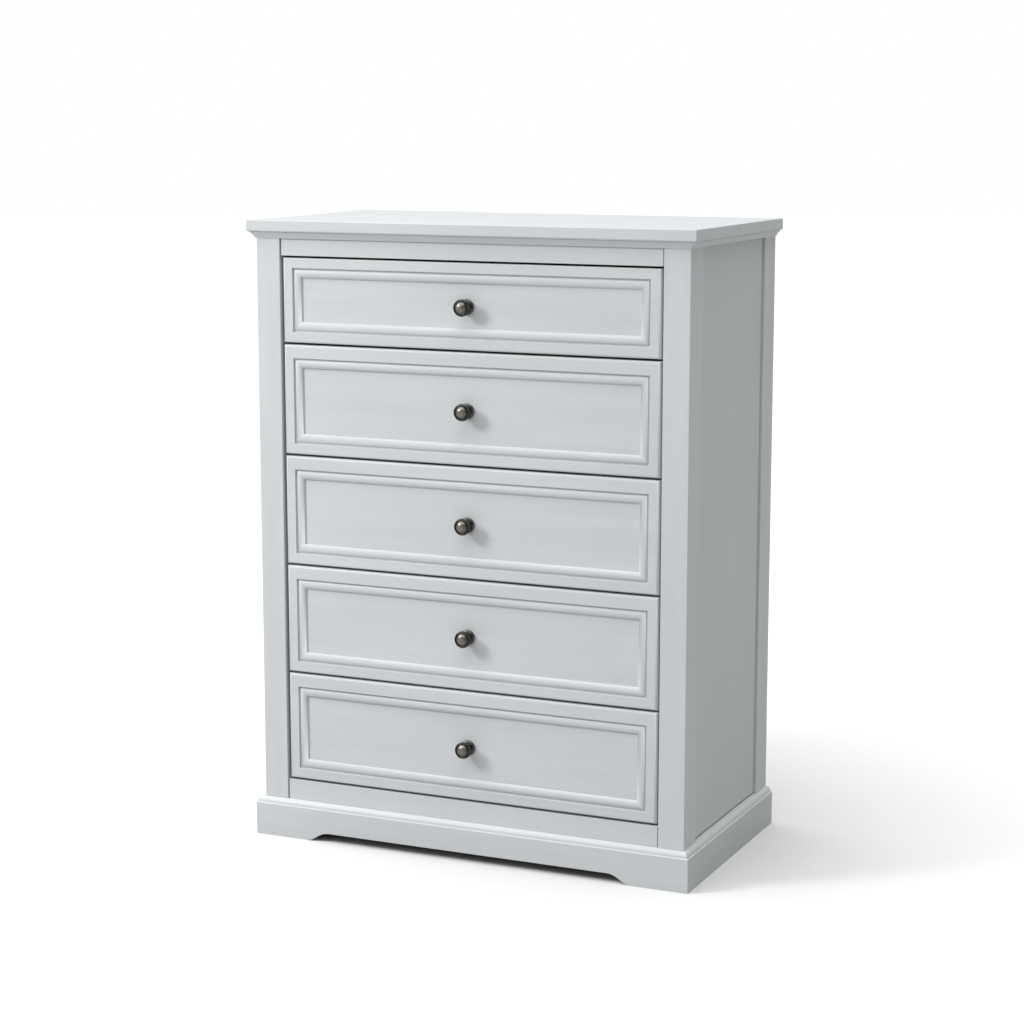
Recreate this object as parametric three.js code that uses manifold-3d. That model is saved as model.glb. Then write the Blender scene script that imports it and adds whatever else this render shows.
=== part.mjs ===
// Tall chest of drawers in painted wood: a post-and-panel carcass on a plinth with bracket feet, under an
// overhanging top, with one shallow and four deep inset drawers on side-hung wooden runners.
// Millimetres, +Z up, the front faces -Y. The origin is on the floor at the middle of the overall box.
import * as THREE from "three";
import { mergeVertices } from "three/addons/utils/BufferGeometryUtils.js";
import Module from "manifold-3d";

const wasm = await Module();
wasm.setup();

// Overall sizes.
const HEIGHT = 1200;
const CARCASS_WIDTH = 874;
const CARCASS_DEPTH = 470;

// Clearance between pieces that are glued or pushed together, and how far a cutter runs past a face.
const FIT = 0.3;
const PAST = 2;

// Corner posts, with a groove for the side panel and, at the back, a rebate for the back panel.
const POST_WIDTH = 50;
const POST_DEPTH = 62;
const BACK_THICKNESS = 6;
const BACK_REBATE = 8;

// Side panels: a field set back from the posts, inside a thinner border that leaves a narrow open joint.
const PANEL_SET_BACK = 4.5;
const PANEL_THICKNESS = 12;
const PANEL_GROOVE = 8;
const PANEL_REBATE = 3.5;
const PANEL_JOINT = 4;
const PANEL_FOOT_JOINT = 3;

// The top slab, its overhang on the front and sides, and the cove moulding below it.
const TOP_THICKNESS = 22;
const TOP_SIDE_OVERHANG = 14;
const TOP_FRONT_OVERHANG = 13;
const TOP_LOWER_ROUND = 4;
const TOP_UPPER_ROUND = 1.2;
const COVE_HEIGHT = 12;
const COVE_TOP_OUT = 9.5;
const COVE_FOOT_OUT = 1.2;
const COVE_HOLLOW = 0.8;
const COVE_FILLET = 0.8;

// The plinth: boards proud of the posts with a small fillet and an ovolo along their top edge.
const PLINTH_HEIGHT = 75;
const PLINTH_THICKNESS = 22;
const PLINTH_OUT = 13.5;
const PLINTH_FACE_HEIGHT = 63;
const PLINTH_FILLET = 1.6;
const PLINTH_OVOLO_WIDTH = 9;
const PLINTH_OVOLO_HEIGHT = 9;
const FOOT_WIDTH = 112;
const OGEE_WIDTH = 48;
const OGEE_LOWER_PULL = { along: 0.42, up: 0.1 };
const OGEE_UPPER_PULL = { along: 0.5, up: 0.98 };
const OGEE_STEPS = 10;
const CUTOUT_HEIGHT = 18;

// Front rails, with a narrow open joint at each end of the face, and the rails at the back, all tenoned into
// the posts. The front rails and the drawers stand a little behind the face of the posts.
const FACE_SET_BACK = 2;
const RAIL_THICKNESS = 20;
const RAIL_JOINT = 2.2;
const BOTTOM_RAIL_HEIGHT = 39;
const REAR_RAIL_HEIGHT = 44;
const TENON_LENGTH = 25;
const TENON_THICKNESS = 10;
const TENON_SHOULDER = 8;

// The bottom panel, held in grooves of the two bottom rails.
const BOTTOM_THICKNESS = 8;
const BOTTOM_ABOVE_PLINTH = 9;
const BOTTOM_GROOVE = 6;

// Drawers: one shallow at the top and four deep ones, with one gap above and below and a wider one beside.
const DRAWER_GAP = 4;
const DRAWER_SIDE_GAP = 5;
const TOP_DRAWER_HEIGHT = 160;
const DRAWER_HEIGHT = 209;
const DEEP_DRAWERS = 4;
const FRONT_THICKNESS = 22;

// Drawer front section: round-over, flat frame, quirk, bead, and a recessed panel. The width of the
// round-over and of the frame differs from edge to edge. The bead is measured from the frame inwards.
const SIDE_EDGE = { round: 5.5, frame: 20.5 };
const LOW_EDGE = { round: 4, frame: 20.5 };
const HIGH_EDGE = { round: 5, frame: 25.5 };
const SHALLOW_HIGH_EDGE = { round: 2.5, frame: 19 };
const ROUND_DEPTH = 5;
const QUIRK_WIDTH = 3;
const QUIRK_DEPTH = 4;
const BEAD_CREST = 10;
const BEAD_CREST_DEPTH = 0.5;
const BEAD_WIDTH = 19;
const PANEL_DEPTH = 6;

// Drawer box.
const SIDE_THICKNESS = 15;
const SIDE_ABOVE_FRONT_FOOT = 8;
const SIDE_BELOW_FRONT_TOP = 14;
const BOX_END = 440;
const TOP_DRAWER_TAILS = 3;
const DRAWER_TAILS = 4;
const TAIL_LENGTH = 12;
const TAIL_FLARE = 2;
const TAIL_SHARE = 0.6;
const BOX_BOTTOM_THICKNESS = 5;
const BOX_BOTTOM_UP = 10;
const HOUSING = 5;
const BOX_BACK_THICKNESS = 14;
const BOX_BACK_FROM_END = 2;
const BOX_BACK_BELOW_TOP = 4;

// Runners screwed to the posts, and the grooves in the drawer sides that slide on them.
const RUNNER_WIDTH = 11.2;
const RUNNER_HEIGHT = 18;
const RUNNER_START = 34;
const RUNNER_END = 436;
const RUNNER_GROOVE = 8.5;
const RUNNER_GROOVE_START = 28;
const RUNNER_CLEARANCE = 2;

// Turned knob: a stud through the drawer front, a seat, a neck and a round stepped head.
const STUD_RADIUS = 2;
const STUD_HOLE_RADIUS = 2.5;
const STUD_HOLE_SIDES = 12;
const STUD_LENGTH = 22;
const KNOB_HEIGHT = 32;
const KNOB_DROP = 1.5;
const KNOB_SIDES = 24;

// Levels and planes that follow from the sizes above. Depths are measured back from the posts' front.
const KNOB_REACH = KNOB_HEIGHT - PANEL_DEPTH - FACE_SET_BACK;
const FRONT_Y = -(CARCASS_DEPTH + KNOB_REACH) / 2 + KNOB_REACH;
const POST_INSIDE = CARCASS_WIDTH / 2 - POST_WIDTH;
const TOP_UNDERSIDE = HEIGHT - TOP_THICKNESS;
const COVE_UNDERSIDE = TOP_UNDERSIDE - COVE_HEIGHT;
const BOTTOM_LOW = PLINTH_HEIGHT + BOTTOM_ABOVE_PLINTH;
const BOTTOM_HIGH = BOTTOM_LOW + BOTTOM_THICKNESS;
const BOTTOM_RAIL_TOP = PLINTH_HEIGHT + BOTTOM_RAIL_HEIGHT;
const TOP_DRAWER_FOOT = BOTTOM_RAIL_TOP + DRAWER_GAP + DEEP_DRAWERS * (DRAWER_HEIGHT + DRAWER_GAP);
const TOP_RAIL_FOOT = TOP_DRAWER_FOOT + TOP_DRAWER_HEIGHT + DRAWER_GAP;
const PANEL_OUTSIDE = CARCASS_WIDTH / 2 - PANEL_SET_BACK;
const PANEL_INSIDE = PANEL_OUTSIDE - PANEL_THICKNESS;
const PANEL_TONGUE = PANEL_OUTSIDE - PANEL_REBATE;
const BACK_PANEL_FACE = CARCASS_DEPTH - BACK_THICKNESS;
const REAR_RAIL_START = BACK_PANEL_FACE - FIT - RAIL_THICKNESS;
const FRONT_WIDTH = 2 * (POST_INSIDE - DRAWER_SIDE_GAP);
const BOX_INSIDE = FRONT_WIDTH / 2 - SIDE_THICKNESS;
const ARC_STEPS = 8;
const EDGE_STEPS = 3;

const paint = new THREE.MeshStandardMaterial({ color: 0xcdd3d4, roughness: 0.5, metalness: 0 });
const drawerWood = new THREE.MeshStandardMaterial({ color: 0xdcc39a, roughness: 0.65, metalness: 0 });
const runnerWood = new THREE.MeshStandardMaterial({ color: 0xc4a071, roughness: 0.6, metalness: 0 });
const boardWood = new THREE.MeshStandardMaterial({ color: 0xb89a70, roughness: 0.75, metalness: 0 });
const pewter = new THREE.MeshStandardMaterial({ color: 0x57504a, roughness: 0.38, metalness: 0.85 });

// Geometry from triangles given as a flat list of points.
function facetedGeometry(points) {
  const geometry = new THREE.BufferGeometry().setFromPoints(points);
  geometry.computeVertexNormals();
  return geometry;
}

// A closed skin through rings of equal length. Each ring runs anticlockwise seen from the last ring's side,
// and outline is the first ring's flat outline, which says how the two ends are filled.
function loft(rings, outline) {
  const points = [];
  const count = outline.length;
  for (let ring = 0; ring < rings.length - 1; ring += 1) {
    for (let i = 0; i < count; i += 1) {
      const j = (i + 1) % count;
      const [a, b] = [rings[ring], rings[ring + 1]];
      points.push(a[i], a[j], b[j], a[i], b[j], b[i]);
    }
  }
  const first = rings[0];
  const last = rings[rings.length - 1];
  for (const [i, j, k] of THREE.ShapeUtils.triangulateShape(outline, [])) {
    points.push(first[k], first[j], first[i], last[i], last[j], last[k]);
  }
  return facetedGeometry(points);
}

// A box from its lowest and highest corners.
function boxBetween(low, high) {
  const size = high.map((value, axis) => value - low[axis]);
  const centre = high.map((value, axis) => (value + low[axis]) / 2);
  return new THREE.BoxGeometry(...size).translate(...centre);
}

// An outline in (y, z) drawn out along X.
function prismAlongX(outline, from, to) {
  const toWorld = new THREE.Matrix4().makeBasis(
    new THREE.Vector3(0, 1, 0),
    new THREE.Vector3(0, 0, 1),
    new THREE.Vector3(1, 0, 0),
  );
  const shape = new THREE.Shape(outline);
  return new THREE.ExtrudeGeometry(shape, { depth: to - from, bevelEnabled: false })
    .applyMatrix4(toWorld)
    .translate(from, 0, 0);
}

// An outline in (x, y) drawn out along Z.
function prismAlongZ(outline, from, to) {
  const shape = new THREE.Shape(outline);
  return new THREE.ExtrudeGeometry(shape, { depth: to - from, bevelEnabled: false }).translate(0, 0, from);
}

function asSolid(geometry) {
  const bare = geometry.clone();
  bare.deleteAttribute("normal");
  bare.deleteAttribute("uv");
  const merged = mergeVertices(bare, 1e-3);
  const vertProperties = new Float32Array(merged.attributes.position.array);
  const triVerts = new Uint32Array(merged.index.array);
  return new wasm.Manifold(new wasm.Mesh({ numProp: 3, vertProperties, triVerts }));
}

function asGeometry(solid) {
  const { numProp, vertProperties, triVerts } = solid.getMesh();
  const points = Array.from(triVerts, (index) =>
    new THREE.Vector3().fromArray(vertProperties, index * numProp),
  );
  return facetedGeometry(points);
}

// The first geometry joined to the others in `added` and cut by those in `removed`.
function carve(base, { added = [], removed = [] }) {
  const joined = added.reduce((solid, piece) => solid.add(asSolid(piece)), asSolid(base));
  return asGeometry(removed.reduce((solid, cutter) => solid.subtract(asSolid(cutter)), joined));
}

function point(x, y) {
  return new THREE.Vector2(x, y);
}

// A quarter of an ellipse as points, from angle `from` to `to` in quarter turns.
function ellipseArc(centre, radii, from, to, steps = ARC_STEPS) {
  return Array.from({ length: steps + 1 }, (_, step) => {
    const angle = ((from + ((to - from) * step) / steps) * Math.PI) / 2;
    return point(centre.x + radii.x * Math.cos(angle), centre.y + radii.y * Math.sin(angle));
  });
}

const chest = new THREE.Group();
const carcass = new THREE.Group();
carcass.position.y = FRONT_Y;
chest.add(carcass);

function addMesh(parent, name, geometry, material, position = [0, 0, 0]) {
  const mesh = new THREE.Mesh(geometry, material);
  mesh.name = name;
  mesh.position.set(...position);
  parent.add(mesh);
  return mesh;
}

// Left is -X and right is +X.
const HANDS = [
  { hand: "left", side: -1 },
  { hand: "right", side: 1 },
];

// Swaps the ends of a range so that the lower one comes first, for pieces mirrored by `side`.
function ordered(a, b) {
  return [Math.min(a, b), Math.max(a, b)];
}

function mirroredBox(side, [nearX, farX], [lowY, highY], [lowZ, highZ]) {
  const [lowX, highX] = ordered(side * nearX, side * farX);
  return boxBetween([lowX, lowY, lowZ], [highX, highY, highZ]);
}

// A post's plan from its corners, with x measured from the middle of the chest and mirrored by `side`.
function postOutline(side, corners) {
  const outline = corners.map(([x, y]) => point(side * x, y));
  return THREE.ShapeUtils.isClockWise(outline) ? outline.reverse() : outline;
}

// The rail levels that the posts are mortised for.
const RAILS = [
  { name: "top_rail", start: FACE_SET_BACK, low: TOP_RAIL_FOOT, high: TOP_UNDERSIDE - FIT },
  { name: "bottom_rail", start: FACE_SET_BACK, low: PLINTH_HEIGHT + FIT, high: BOTTOM_RAIL_TOP },
  {
    name: "rear_top_rail",
    start: REAR_RAIL_START,
    low: TOP_UNDERSIDE - REAR_RAIL_HEIGHT,
    high: TOP_UNDERSIDE - FIT,
  },
  { name: "rear_bottom_rail", start: REAR_RAIL_START, low: PLINTH_HEIGHT + FIT, high: BOTTOM_RAIL_TOP },
];

// A tenon's box, which is also its mortise when `spare` is the fit.
function tenonBox(rail, from, to, spare) {
  const middle = rail.start + RAIL_THICKNESS / 2;
  return boxBetween(
    [from, middle - TENON_THICKNESS / 2 - spare, rail.low + TENON_SHOULDER - spare],
    [to, middle + TENON_THICKNESS / 2 + spare, rail.high - TENON_SHOULDER + spare],
  );
}

function mortises(side, rails) {
  const [from, to] = ordered(side * (POST_INSIDE - PAST), side * (POST_INSIDE + TENON_LENGTH));
  return rails.map((rail) => tenonBox(rail, from, to, FIT));
}

function addPosts() {
  const outside = CARCASS_WIDTH / 2;
  const grooveNear = PANEL_INSIDE - FIT;
  const grooveFar = PANEL_TONGUE + FIT;
  const behind = CARCASS_DEPTH - POST_DEPTH;
  for (const { hand, side } of HANDS) {
    const frontPlan = postOutline(side, [
      [POST_INSIDE, 0],
      [outside, 0],
      [outside, POST_DEPTH],
      [grooveFar, POST_DEPTH],
      [grooveFar, POST_DEPTH - PANEL_GROOVE],
      [grooveNear, POST_DEPTH - PANEL_GROOVE],
      [grooveNear, POST_DEPTH],
      [POST_INSIDE, POST_DEPTH],
    ]);
    const rearPlan = postOutline(side, [
      [POST_INSIDE, behind],
      [grooveNear, behind],
      [grooveNear, behind + PANEL_GROOVE],
      [grooveFar, behind + PANEL_GROOVE],
      [grooveFar, behind],
      [outside, behind],
      [outside, CARCASS_DEPTH],
      [POST_INSIDE + BACK_REBATE, CARCASS_DEPTH],
      [POST_INSIDE + BACK_REBATE, BACK_PANEL_FACE - FIT],
      [POST_INSIDE, BACK_PANEL_FACE - FIT],
    ]);
    const low = PLINTH_HEIGHT + FIT;
    const high = TOP_UNDERSIDE - FIT;
    const front = carve(prismAlongZ(frontPlan, low, high), { removed: mortises(side, RAILS.slice(0, 2)) });
    const rear = carve(prismAlongZ(rearPlan, low, high), { removed: mortises(side, RAILS.slice(2)) });
    addMesh(carcass, `front_post_${hand}`, front, paint);
    addMesh(carcass, `rear_post_${hand}`, rear, paint);
  }
}

function addSidePanels() {
  const grip = PANEL_GROOVE - FIT;
  const rear = CARCASS_DEPTH - POST_DEPTH;
  const foot = PLINTH_HEIGHT + FIT;
  const high = TOP_UNDERSIDE - FIT;
  for (const { hand, side } of HANDS) {
    const board = mirroredBox(
      side,
      [PANEL_INSIDE, PANEL_TONGUE],
      [POST_DEPTH - grip, rear + grip],
      [foot, high],
    );
    const field = mirroredBox(
      side,
      [PANEL_INSIDE, PANEL_OUTSIDE],
      [POST_DEPTH + PANEL_JOINT, rear - PANEL_JOINT],
      [foot + PANEL_FOOT_JOINT, high],
    );
    addMesh(carcass, `side_panel_${hand}`, carve(board, { added: [field] }), paint);
  }
}

function addRails() {
  for (const rail of RAILS) {
    const half = POST_INSIDE - FIT;
    const reach = POST_INSIDE + TENON_LENGTH - FIT;
    const bar = boxBetween([-half, rail.start, rail.low], [half, rail.start + RAIL_THICKNESS, rail.high]);
    const grooves = rail.name.includes("bottom") ? [bottomGroove(rail)] : [];
    const joints = rail.start === FACE_SET_BACK ? railJoints(rail) : [];
    const tenon = tenonBox(rail, -reach, reach, 0);
    const geometry = carve(bar, { added: [tenon], removed: [...grooves, ...joints] });
    addMesh(carcass, rail.name, geometry, rail.name.startsWith("rear") ? boardWood : paint);
  }
}

// The open joints at the two ends of a front rail's face, as deep as the face of the tenon.
function railJoints(rail) {
  const depth = (RAIL_THICKNESS - TENON_THICKNESS) / 2;
  return HANDS.map(({ side }) =>
    mirroredBox(
      side,
      [POST_INSIDE - FIT - RAIL_JOINT, POST_INSIDE],
      [rail.start - PAST, rail.start + depth],
      [rail.low - PAST, rail.high + PAST],
    ),
  );
}

// The groove for the bottom panel, in the face of a bottom rail that looks into the chest.
function bottomGroove(rail) {
  const isRear = rail.start > CARCASS_DEPTH / 2;
  const innerFace = isRear ? rail.start : rail.start + RAIL_THICKNESS;
  const [lowY, highY] = isRear
    ? [innerFace - PAST, innerFace + BOTTOM_GROOVE]
    : [innerFace - BOTTOM_GROOVE, innerFace + PAST];
  return boxBetween(
    [-POST_INSIDE, lowY, BOTTOM_LOW - FIT],
    [POST_INSIDE, highY, BOTTOM_HIGH + FIT],
  );
}

// The bottom panel is notched round the four posts.
function addBottomPanel() {
  const wide = PANEL_INSIDE - FIT;
  const narrow = POST_INSIDE - FIT;
  const notchFront = POST_DEPTH + FIT;
  const notchRear = CARCASS_DEPTH - POST_DEPTH - FIT;
  const front = FACE_SET_BACK + RAIL_THICKNESS - BOTTOM_GROOVE + FIT;
  const rear = REAR_RAIL_START + BOTTOM_GROOVE - FIT;
  const rightEdge = [
    point(narrow, front),
    point(narrow, notchFront),
    point(wide, notchFront),
    point(wide, notchRear),
    point(narrow, notchRear),
    point(narrow, rear),
  ];
  const leftEdge = rightEdge.map(({ x, y }) => point(-x, y)).reverse();
  addMesh(
    carcass,
    "bottom_panel",
    prismAlongZ([...rightEdge, ...leftEdge], BOTTOM_LOW, BOTTOM_HIGH),
    boardWood,
  );
}

function addBackPanel() {
  const half = POST_INSIDE + BACK_REBATE - FIT;
  const geometry = boxBetween(
    [-half, BACK_PANEL_FACE, PLINTH_HEIGHT + FIT],
    [half, CARCASS_DEPTH, TOP_UNDERSIDE - FIT],
  );
  addMesh(carcass, "back_panel", geometry, boardWood);
}

// A rectangle at level z, drawn in from the top's outline on the front and sides but not at the back.
function topRing(inset, z) {
  const half = CARCASS_WIDTH / 2 + TOP_SIDE_OVERHANG - inset;
  const front = -TOP_FRONT_OVERHANG + inset;
  return [
    new THREE.Vector3(-half, front, z),
    new THREE.Vector3(half, front, z),
    new THREE.Vector3(half, CARCASS_DEPTH, z),
    new THREE.Vector3(-half, CARCASS_DEPTH, z),
  ];
}

function addTop() {
  const lower = ellipseArc(
    point(TOP_LOWER_ROUND, TOP_UNDERSIDE + TOP_LOWER_ROUND),
    point(TOP_LOWER_ROUND, TOP_LOWER_ROUND),
    3,
    2,
  );
  const upper = ellipseArc(
    point(TOP_UPPER_ROUND, HEIGHT - TOP_UPPER_ROUND),
    point(TOP_UPPER_ROUND, TOP_UPPER_ROUND),
    2,
    1,
  );
  const rings = [...lower, ...upper].map(({ x, y }) => topRing(x, y));
  const outline = rings[0].map(({ x, y }) => point(x, y));
  addMesh(carcass, "top_panel", loft(rings, outline), paint);
}

// A moulding along X with its profile given as (out, up) points, out towards -Y. The two ends stand at
// startAt(out) and endAt(out), so an end that follows `out` is a mitre.
function mouldingBar(profile, startAt, endAt) {
  const section = profile.map(({ x: out, y: up }) => point(-out, up));
  const ordinary = THREE.ShapeUtils.isClockWise(section) ? section.reverse() : section;
  const ringAt = (place) => ordinary.map(({ x, y }) => new THREE.Vector3(place(-x), x, y));
  return loft([ringAt(startAt), ringAt(endAt)], ordinary);
}

// Three bars of one profile round the front and sides, mitred at the front corners and square at the back.
// finishFront is for what is cut out of the front bar.
function addMouldingSet(nameOf, profile, finishFront = (geometry) => geometry) {
  const half = CARCASS_WIDTH / 2;
  const front = mouldingBar(
    profile,
    (out) => -half - out + FIT,
    (out) => half + out - FIT,
  );
  const right = mouldingBar(
    profile,
    (out) => -out,
    () => CARCASS_DEPTH,
  );
  const left = mouldingBar(
    profile,
    () => -CARCASS_DEPTH,
    (out) => out,
  );
  addMesh(carcass, nameOf("front"), finishFront(front), paint);
  const rightBar = addMesh(carcass, nameOf("right"), right, paint, [half, 0, 0]);
  rightBar.rotation.z = Math.PI / 2;
  const leftBar = addMesh(carcass, nameOf("left"), left, paint, [-half, 0, 0]);
  leftBar.rotation.z = -Math.PI / 2;
}

// The cove moulding: a slope, slightly hollow, from a narrow foot out to a narrow fillet under the top.
function addTopMouldings() {
  const low = COVE_UNDERSIDE;
  const high = TOP_UNDERSIDE - FIT;
  const foot = point(COVE_FOOT_OUT, low);
  const brow = point(COVE_TOP_OUT, high - COVE_FILLET);
  const slope = brow.clone().sub(foot).normalize();
  const middle = foot.clone().add(brow).multiplyScalar(1 / 2);
  const hollow = middle.add(point(-slope.y, slope.x).multiplyScalar(COVE_HOLLOW));
  const profile = [point(FIT, low), foot, hollow, brow, point(COVE_TOP_OUT, high), point(FIT, high)];
  addMouldingSet((place) => `top_moulding_${place}`, profile);
}

// One end of the plinth's cut-out: an ogee from the foot up to the straight edge, as (x, z) points.
function ogee() {
  const footEnd = CARCASS_WIDTH / 2 + PLINTH_OUT - FOOT_WIDTH;
  const along = (share) => footEnd - OGEE_WIDTH * share;
  const curve = new THREE.CubicBezierCurve(
    point(footEnd, 0),
    point(along(OGEE_LOWER_PULL.along), CUTOUT_HEIGHT * OGEE_LOWER_PULL.up),
    point(along(OGEE_UPPER_PULL.along), CUTOUT_HEIGHT * OGEE_UPPER_PULL.up),
    point(along(1), CUTOUT_HEIGHT),
  );
  return curve.getPoints(OGEE_STEPS);
}

// What is sawn out under the front of the plinth, leaving the two bracket feet.
function plinthCutout() {
  const right = ogee();
  const left = right.map(({ x, y }) => point(-x, y)).reverse();
  const below = [point(-right[0].x, -PAST), point(right[0].x, -PAST)];
  const shape = new THREE.Shape([...below, ...right, ...left]);
  const depth = PLINTH_OUT + PLINTH_THICKNESS + PAST;
  return new THREE.ExtrudeGeometry(shape, { depth, bevelEnabled: false })
    .rotateX(Math.PI / 2)
    .translate(0, PLINTH_THICKNESS, 0);
}

function addPlinth() {
  const inner = PLINTH_OUT - PLINTH_THICKNESS;
  const filletTop = PLINTH_FACE_HEIGHT + PLINTH_FILLET;
  const edgeRound = ellipseArc(
    point(PLINTH_OUT - PLINTH_FILLET, PLINTH_FACE_HEIGHT),
    point(PLINTH_FILLET, PLINTH_FILLET),
    0,
    1,
    EDGE_STEPS,
  );
  const ovolo = ellipseArc(
    point(PLINTH_OUT - 2 * PLINTH_FILLET - PLINTH_OVOLO_WIDTH, PLINTH_HEIGHT - PLINTH_OVOLO_HEIGHT),
    point(PLINTH_OVOLO_WIDTH, PLINTH_OVOLO_HEIGHT),
    0,
    1,
  );
  const profile = [
    point(inner, 0),
    point(PLINTH_OUT, 0),
    ...edgeRound,
    point(ovolo[0].x, filletTop),
    ...ovolo,
    point(inner, PLINTH_HEIGHT),
  ];
  addMouldingSet(
    (place) => `plinth_${place}`,
    profile,
    (front) => carve(front, { removed: [plinthCutout()] }),
  );
  const half = CARCASS_WIDTH / 2 + inner - FIT;
  const rear = boxBetween(
    [-half, CARCASS_DEPTH - PLINTH_THICKNESS, 0],
    [half, CARCASS_DEPTH, PLINTH_HEIGHT],
  );
  addMesh(carcass, "plinth_rear", rear, boardWood);
}

// The section of a drawer front from its back edge over the face to the recessed panel. Each step has its
// depth behind the face and, for any edge of the front, how far in from that edge it stands.
function frontSection() {
  const round = ellipseArc(point(1, ROUND_DEPTH), point(1, ROUND_DEPTH), 2, 3);
  const outerBead = ellipseArc(
    point(BEAD_CREST, QUIRK_DEPTH),
    point(BEAD_CREST - QUIRK_WIDTH, QUIRK_DEPTH - BEAD_CREST_DEPTH),
    2,
    3,
  );
  const innerBead = ellipseArc(
    point(BEAD_CREST, PANEL_DEPTH),
    point(BEAD_WIDTH - BEAD_CREST, PANEL_DEPTH - BEAD_CREST_DEPTH),
    3,
    4,
  );
  const inside = [point(0, 0), point(0, QUIRK_DEPTH), ...outerBead, ...innerBead.slice(1)];
  return [
    { depth: FRONT_THICKNESS, insetOn: () => 0 },
    ...round.map(({ x: share, y: depth }) => ({ depth, insetOn: (edge) => share * edge.round })),
    ...inside.map(({ x: inward, y: depth }) => ({ depth, insetOn: (edge) => edge.frame + inward })),
  ];
}

// Where the dovetail tails stand up the end of a drawer side: their middles and their width at the root.
function tailLayout(drawer) {
  const height = drawer.sideTop - drawer.sideFoot;
  const pitch = height / drawer.tails;
  return Array.from({ length: drawer.tails }, (_, index) => ({
    middle: drawer.sideFoot + (index + 0.5) * pitch,
    root: TAIL_SHARE * pitch,
  }));
}

// One tail in (y, z), running forward from its root at the back of the drawer front.
function tailCorners({ middle, root }, spare, rootAt) {
  const rootHalf = root / 2 + spare;
  const tip = FRONT_THICKNESS - TAIL_LENGTH - spare;
  return [
    point(rootAt, middle - rootHalf),
    point(tip, middle - rootHalf - TAIL_FLARE),
    point(tip, middle + rootHalf + TAIL_FLARE),
    point(rootAt, middle + rootHalf),
  ];
}

function frontGeometry(drawer) {
  const rings = frontSection().map(({ depth, insetOn }) => {
    const half = FRONT_WIDTH / 2 - insetOn(SIDE_EDGE);
    const [low, high] = [insetOn(LOW_EDGE), drawer.height - insetOn(drawer.highEdge)];
    return [
      new THREE.Vector3(-half, depth, low),
      new THREE.Vector3(half, depth, low),
      new THREE.Vector3(half, depth, high),
      new THREE.Vector3(-half, depth, high),
    ];
  });
  const outline = rings[0].map(({ x, z }) => point(x, z));
  const sockets = HANDS.flatMap(({ side }) => {
    const [from, to] = ordered(side * (BOX_INSIDE - FIT), side * (FRONT_WIDTH / 2 + PAST));
    return tailLayout(drawer).map((tail) =>
      prismAlongX(tailCorners(tail, FIT, FRONT_THICKNESS + PAST).reverse(), from, to),
    );
  });
  const groove = boxBetween(
    [-BOX_INSIDE - HOUSING, FRONT_THICKNESS - BOTTOM_GROOVE, drawer.panelLow - FIT],
    [BOX_INSIDE + HOUSING, FRONT_THICKNESS + PAST, drawer.panelHigh + FIT],
  );
  const hole = new THREE.CylinderGeometry(
    STUD_HOLE_RADIUS,
    STUD_HOLE_RADIUS,
    2 * FRONT_THICKNESS,
    STUD_HOLE_SIDES,
  );
  hole.translate(0, FRONT_THICKNESS, drawer.knobMiddle);
  return carve(loft(rings, outline), { removed: [...sockets, groove, hole] });
}

// A drawer side with dovetail tails in front, a groove for the runner outside, and a groove for the bottom
// and a housing for the back inside.
function sideGeometry(drawer, side) {
  const tails = tailLayout(drawer).flatMap((tail) => tailCorners(tail, 0, FRONT_THICKNESS + FIT));
  const outline = [
    ...tails,
    point(FRONT_THICKNESS + FIT, drawer.sideTop),
    point(BOX_END, drawer.sideTop),
    point(BOX_END, drawer.sideFoot),
    point(FRONT_THICKNESS + FIT, drawer.sideFoot),
  ].reverse();
  const outside = FRONT_WIDTH / 2;
  const [from, to] = ordered(side * BOX_INSIDE, side * outside);
  const halfGroove = (RUNNER_HEIGHT + RUNNER_CLEARANCE) / 2;
  const runnerGroove = mirroredBox(
    side,
    [outside - RUNNER_GROOVE, outside + PAST],
    [RUNNER_GROOVE_START, BOX_END + PAST],
    [drawer.runnerMiddle - halfGroove, drawer.runnerMiddle + halfGroove],
  );
  const bottomSlot = mirroredBox(
    side,
    [BOX_INSIDE - PAST, BOX_INSIDE + HOUSING],
    [FRONT_THICKNESS - TAIL_LENGTH - PAST, BOX_END + PAST],
    [drawer.panelLow - FIT, drawer.panelHigh + FIT],
  );
  const backHousing = mirroredBox(
    side,
    [BOX_INSIDE - PAST, BOX_INSIDE + HOUSING],
    [drawer.backStart - FIT, drawer.backStart + BOX_BACK_THICKNESS + FIT],
    [drawer.panelHigh, drawer.sideTop + PAST],
  );
  return carve(prismAlongX(outline, from, to), { removed: [runnerGroove, bottomSlot, backHousing] });
}

// The knob's outline as (radius, height above the panel): the stud, the base flange, the neck, the back of
// the head, its rim, and the dome inside a ring groove.
function knobGeometry() {
  const profile = [
    [0, -STUD_LENGTH],
    [STUD_RADIUS, -STUD_LENGTH],
    [STUD_RADIUS, FIT],
    [14, FIT],
    [14.7, 1.4],
    [14.7, 3.6],
    [13.6, 5],
    [11.8, 6],
    [10, 8],
    [9.2, 10.6],
    [9.6, 13.6],
    [11.4, 16.4],
    [14, 18.8],
    [15.6, 21.2],
    [16, 23.8],
    [15, 26.8],
    [13, 27.8],
    [11.8, 27],
    [10.6, 27.8],
    [7.6, 30.2],
    [4, 31.6],
    [0, KNOB_HEIGHT],
  ];
  return new THREE.LatheGeometry(
    profile.map(([radius, height]) => point(radius, height)),
    KNOB_SIDES,
  );
}

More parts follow.
